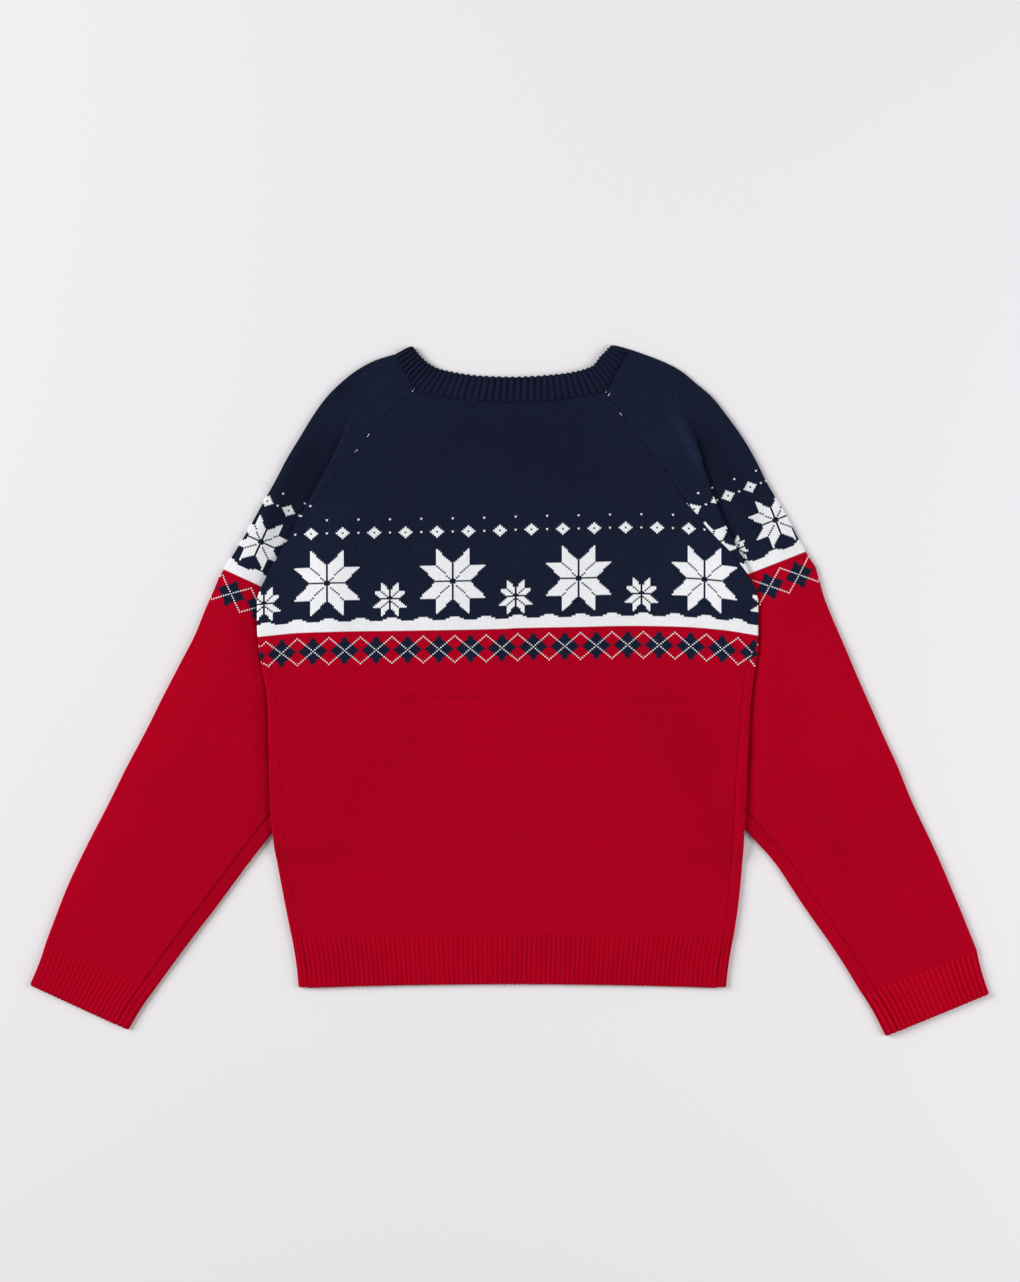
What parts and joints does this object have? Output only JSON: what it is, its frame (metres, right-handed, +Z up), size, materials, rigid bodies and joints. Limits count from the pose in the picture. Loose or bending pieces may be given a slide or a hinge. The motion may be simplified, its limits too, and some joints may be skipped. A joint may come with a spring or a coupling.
{
  "type": "christmas sweater",
  "caption": "Knitted raglan crew-neck Christmas sweater laid flat, back side up, sleeves folded down beside the body, with ribbed neckband, hem and cuffs.",
  "frame": {"origin": "under the middle of the sweater's overall box, on the surface that it lies on", "axes": "+X across the sweater towards the sleeve at the right of the picture, +Y towards the neck, +Z up from the surface"},
  "size_m": [0.9122, 0.6574, 0.0092],
  "materials": {
    "patterned_knit": "fine wool stocking stitch, navy above and red below with a white pattern",
    "navy_rib": "fine wool rib, navy",
    "red_rib": "fine wool rib, red"
  },
  "bodies": {
    "root": {"back": "patterned_knit", "front": "patterned_knit", "sleeve_left": "patterned_knit", "sleeve_right": "patterned_knit", "neckband": "navy_rib", "hem_rib_back": "red_rib", "hem_rib_front": "red_rib", "cuff_left": "red_rib", "cuff_right": "red_rib"}
  },
  "joints": []
}
